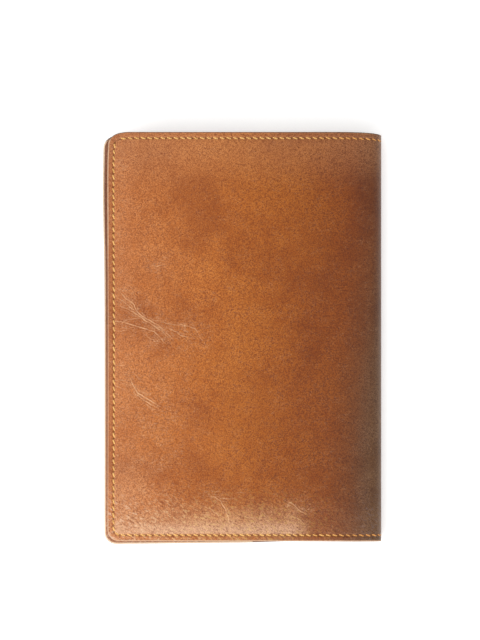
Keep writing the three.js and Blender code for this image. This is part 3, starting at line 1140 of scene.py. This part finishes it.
def thread_material():
    """Twisted, waxed golden thread, darker and more orange where it goes round the spine."""
    m = new_material("waxed_thread")
    along, turn, number = m.split(m.attribute("strand"))
    flat = m.attribute("flat")
    from_spine = abs(m.split(flat)[0] / SEAM - 1.0)
    twist = m.math("SINE", along * 7.0 + turn)
    fuzz = m.noise(flat, 0.22, 2, 0.6)
    tone = twist * 0.16 + fuzz * 0.45 + m.noise(m.join(number, 0.0, 0.0), 1.0, 1) * 0.45
    colour = m.mix(m.range(tone, 0.22, 0.62), (0.55, 0.26, 0.045), (0.90, 0.54, 0.17))
    darker_near_spine = m.range(from_spine, 0.4, 0.04, 0.0, 0.85)
    colour = m.mix(darker_near_spine, colour, (0.78, 0.55, 0.35), "MULTIPLY")
    roughness = m.range(tone, 0.2, 0.7, 0.55, 0.4)
    return m.finish(colour, roughness, m.bump(twist * 0.05 + fuzz * 0.04))


def weave(m, across, along):
    """A fine plain weave."""
    warp = m.math("SINE", across * (2 * math.pi / WARP_PITCH))
    weft = m.math("SINE", along * (2 * math.pi / WEFT_PITCH))
    return warp * weft


def cloth_material():
    """Coated book cloth: a fine plain weave under a thin matt coat."""
    m = new_material("book_cloth")
    flat = m.attribute("flat")
    s, y, _ = m.split(flat)
    threads = weave(m, s, y)
    slub = m.noise(m.vector("MULTIPLY", flat, (0.3, 2.0, 1.0)), 2.5, 2, 0.6)
    rub = m.noise(flat, 14, 3, 0.6)
    tone = threads * 0.12 + slub * 0.5 + rub * 0.4
    colour = m.mix(m.range(tone, 0.25, 0.7), *CLOTH_TONES)
    paled = m.range(m.attribute("edge", "Fac"), 0.4, 0.95) * m.range(rub, 0.4, 0.65, 0.2, 0.7)
    colour = m.mix(paled, colour, (0.11, 0.1, 0.09))
    roughness = m.range(tone, 0.2, 0.8, 0.72, 0.55)
    return m.finish(colour, roughness, m.bump(threads * 0.02 + slub * 0.04), specular=0.4)


def strip_material():
    """The spine strip has the book cloth's finish, but its CAD mesh has only its own coordinates."""
    m = new_material("book_cloth_strip")
    metres = m.add("ShaderNodeTexCoord", output="Object")
    where = m.vector("MULTIPLY", metres, (1 / MM, 1 / MM, 1 / MM))
    _, y, z = m.split(where)
    threads = weave(m, z, y)
    rub = m.noise(where, 9, 3, 0.6)
    tone = threads * 0.15 + rub * 0.85
    colour = m.mix(m.range(tone, 0.25, 0.7), *CLOTH_TONES)
    roughness = m.range(tone, 0.2, 0.8, 0.72, 0.58)
    return m.finish(colour, roughness, m.bump(threads * 0.02 + rub * 0.06))


def paper_material():
    """Uncoated cream paper, with fine lines of painted shade between the leaves on their edges."""
    m = new_material("cream_paper")
    flat = m.attribute("flat")
    s, y, depth = m.split(flat)
    side = m.split(m.attribute("stitch"))[2]
    cockle = m.noise(flat, 35, 2, 0.5)
    fibre = m.noise(flat, 0.6, 3, 0.7)
    leaf = m.noise(m.join(s * 0.02, y * 0.02, depth), 0.11, 2, 0.8)
    on_side = m.range(1.0 - abs(side * 2.0 - 1.0), 0.02, 0.2)
    tone = cockle * 0.2 + fibre * 0.8
    colour = m.mix(m.range(tone, 0.3, 0.7), (0.74, 0.67, 0.52), (0.84, 0.78, 0.63))
    colour = m.mix(m.range(leaf, 0.55, 0.35) * on_side * 0.55, colour, (0.42, 0.34, 0.22))
    height = fibre * 0.02 + cockle * 0.15 + leaf * on_side * 0.08
    return m.finish(colour, m.range(tone, 0.3, 0.7, 0.9, 0.8), m.bump(height), specular=0.3)


# ---- Assembly ----

whole_row = 2 * Cut(FRONT, SEAM).row_half()
ROW_PITCH = whole_row / round(whole_row / STITCH_PITCH)


def put(piece, material, nodes=(), body=None):
    """Gives a piece its material, the CAD nodes it stands for and its bodies."""
    piece.data.materials.append(material)
    if nodes:
        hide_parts(*nodes)
    if body:
        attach(piece, body)
    else:
        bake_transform(piece)
    return piece


def flat_reach(reach, depth):
    """Length before bending of a ply that goes to the middle of the spine at the given depth."""
    return reach - depth * math.pi / 2


def add_cover(name, side, outer, inner, suede, thread):
    """Adds the front's or back's leather, lining, sleeve flap and stitches. Returns its sheets."""
    leather = put(cover_leather(f"cover_leather_{name}", side), outer,
                  (f"{name}_cover", "spine_cover"))
    suede_half = put(lining(f"lining_{name}", side), suede,
                     (f"{name}_lining", "spine_lining"))
    flap = put(sleeve_flap(f"sleeve_flap_{name}", side), inner,
               (f"{name}_flap",), body=name)
    whole = Cut(side, SEAM)
    outer_row = stitch_row(f"outer_stitches_{name}", whole, OUTER_LEVEL, 0.62, corner=side == BACK)
    put(outer_row, thread,
        (f"{name}_stitching", "spine_head_stitching", "spine_tail_stitching"))
    inner_row = stitch_row(f"inner_stitches_{name}", whole, inner_level, 0.5, slant=0.15,
                           radius=0.36, seed=8)
    put(inner_row, thread)
    return leather, suede_half, flap


def add_notebook_half(name, side, cloth, paper):
    """Adds a board, its pastedown, joint cloth and half of the leaves. Returns the joint cloth."""
    put(board(f"notebook_board_{name}", side), cloth, (f"notebook_{name}_board",),
        body=name)
    put(pastedown(f"pastedown_{name}", side), paper, body=name)
    joint_cloth = put(case_cloth(f"case_cloth_{name}", side), cloth)
    put(leaves(f"leaves_{name}", side, 21 + side), paper, (f"{name}_pages",),
        body="leaves" if side == FRONT else "back")
    return joint_cloth


def declare_sheets(name, side, leather, suede_half, flap, joint_cloth):
    """Works out each sheet's length and area before it was bent, and keeps none of them."""
    corners = 2 * (1 - math.pi / 4) * CORNER_RADIUS ** 2
    for ply, depth, below in ((leather, LEATHER / 2, f"lining_{name}"),
                              (suede_half, LINING_TOP + LINING / 2, f"notebook_board_{name}")):
        reach = flat_reach(SEAM, depth)
        reach * MM
        (reach * 2 * HALF - corners) * MM ** 2
    joint = joint_cut(side)
    flat_reach(joint.reach, BOARD_TOP + CLOTH) * MM
    2 * joint.half * MM


def build():
    """Adds every piece of the front and the back, and works out each sheet's size before bending."""
    outer = leather_material("cover_leather", OUTER_LOOK)
    inner = leather_material("flap_leather", FLAP_LOOK)
    suede = suede_material()
    thread = thread_material()
    cloth = cloth_material()
    paper = paper_material()
    for name, side in (("front", FRONT), ("back", BACK)):
        plies = add_cover(name, side, outer, inner, suede, thread)
        joint_cloth = add_notebook_half(name, side, cloth, paper)
        declare_sheets(name, side, *plies, joint_cloth)


build()
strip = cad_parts["notebook_spine"]
strip.data.materials.clear()
strip.data.materials.append(strip_material())


# ---- Floor, light and camera ----

FLOOR_HALF = 1500
FLOOR_LOW = 0.45
FLOOR_GLOW = 0.38
CAMERA_DISTANCE = 1800
VIEW_MIDDLE = (-1.1, 9.6)
VIEW_HEIGHT = 346.9
SENSOR = 36


def add_floor():
    """A pale floor just under the cover."""
    corners = [(x * FLOOR_HALF, y * FLOOR_HALF, -FLOOR_LOW)
               for x, y in ((-1, -1), (1, -1), (1, 1), (-1, 1))]
    floor = add_mesh("floor", corners, [(0, 1, 2, 3)])
    m = new_material("pale_floor")
    floor.data.materials.append(
        m.finish((0.9, 0.9, 0.9), 0.9, m.bump(0.0), specular=0.1, glow=FLOOR_GLOW))


def add_area_light(name, place_mm, target_mm, size_mm, watts):
    data = bpy.data.lights.new(name, "AREA")
    data.shape = "RECTANGLE"
    data.size = size_mm[0] * MM
    data.size_y = size_mm[1] * MM
    data.energy = watts
    lamp = bpy.data.objects.new(name, data)
    lamp.location = Vector(place_mm) * MM
    aim = (Vector(target_mm) - Vector(place_mm)).normalized()
    lamp.rotation_euler = aim.to_track_quat("-Z", "Y").to_euler()
    bpy.context.scene.collection.objects.link(lamp)


def add_world(overhead, horizon, lean):
    """A plain white studio, dimmer overhead than round its walls, and brighter by the share lean on
    the side of the fore-edge and tail."""
    m = Shader(bpy.data.worlds.new("studio"))
    direction = m.add("ShaderNodeTexCoord", output="Generated")
    up = m.vector("DOT_PRODUCT", direction, (0, 0, 1), "Value")
    aside = m.vector("DOT_PRODUCT", direction, (-0.8, -0.6, 0), "Value")
    height = m.range(up, 0, 1, horizon, overhead, "LINEAR")
    strength = height * m.range(aside, -1, 1, 1 - lean, 1 + lean, "LINEAR")
    background = m.add("ShaderNodeBackground", (WHITE, strength))
    bpy.context.scene.world = m.output("ShaderNodeOutputWorld", background)


def add_camera():
    """Straight above the cover, with its long side upright."""
    data = bpy.data.cameras.new("camera")
    data.sensor_width = SENSOR
    data.lens = SENSOR * CAMERA_DISTANCE / VIEW_HEIGHT
    data.clip_start = 0.01
    data.clip_end = 20
    camera = bpy.data.objects.new("camera", data)
    camera.location = Vector((*VIEW_MIDDLE, TOP + CAMERA_DISTANCE)) * MM
    bpy.context.scene.collection.objects.link(camera)
    bpy.context.scene.camera = camera


add_floor()
add_world(0.6, 1.4, 0.15)
add_area_light("key", (-170, -560, 800), (-20, -60, 0), (380, 220), 2.6)
add_area_light("side", (-620, -200, 430), (0, 0, 0), (400, 400), 2)
add_camera()
bpy.context.scene.view_settings.view_transform = "Standard"
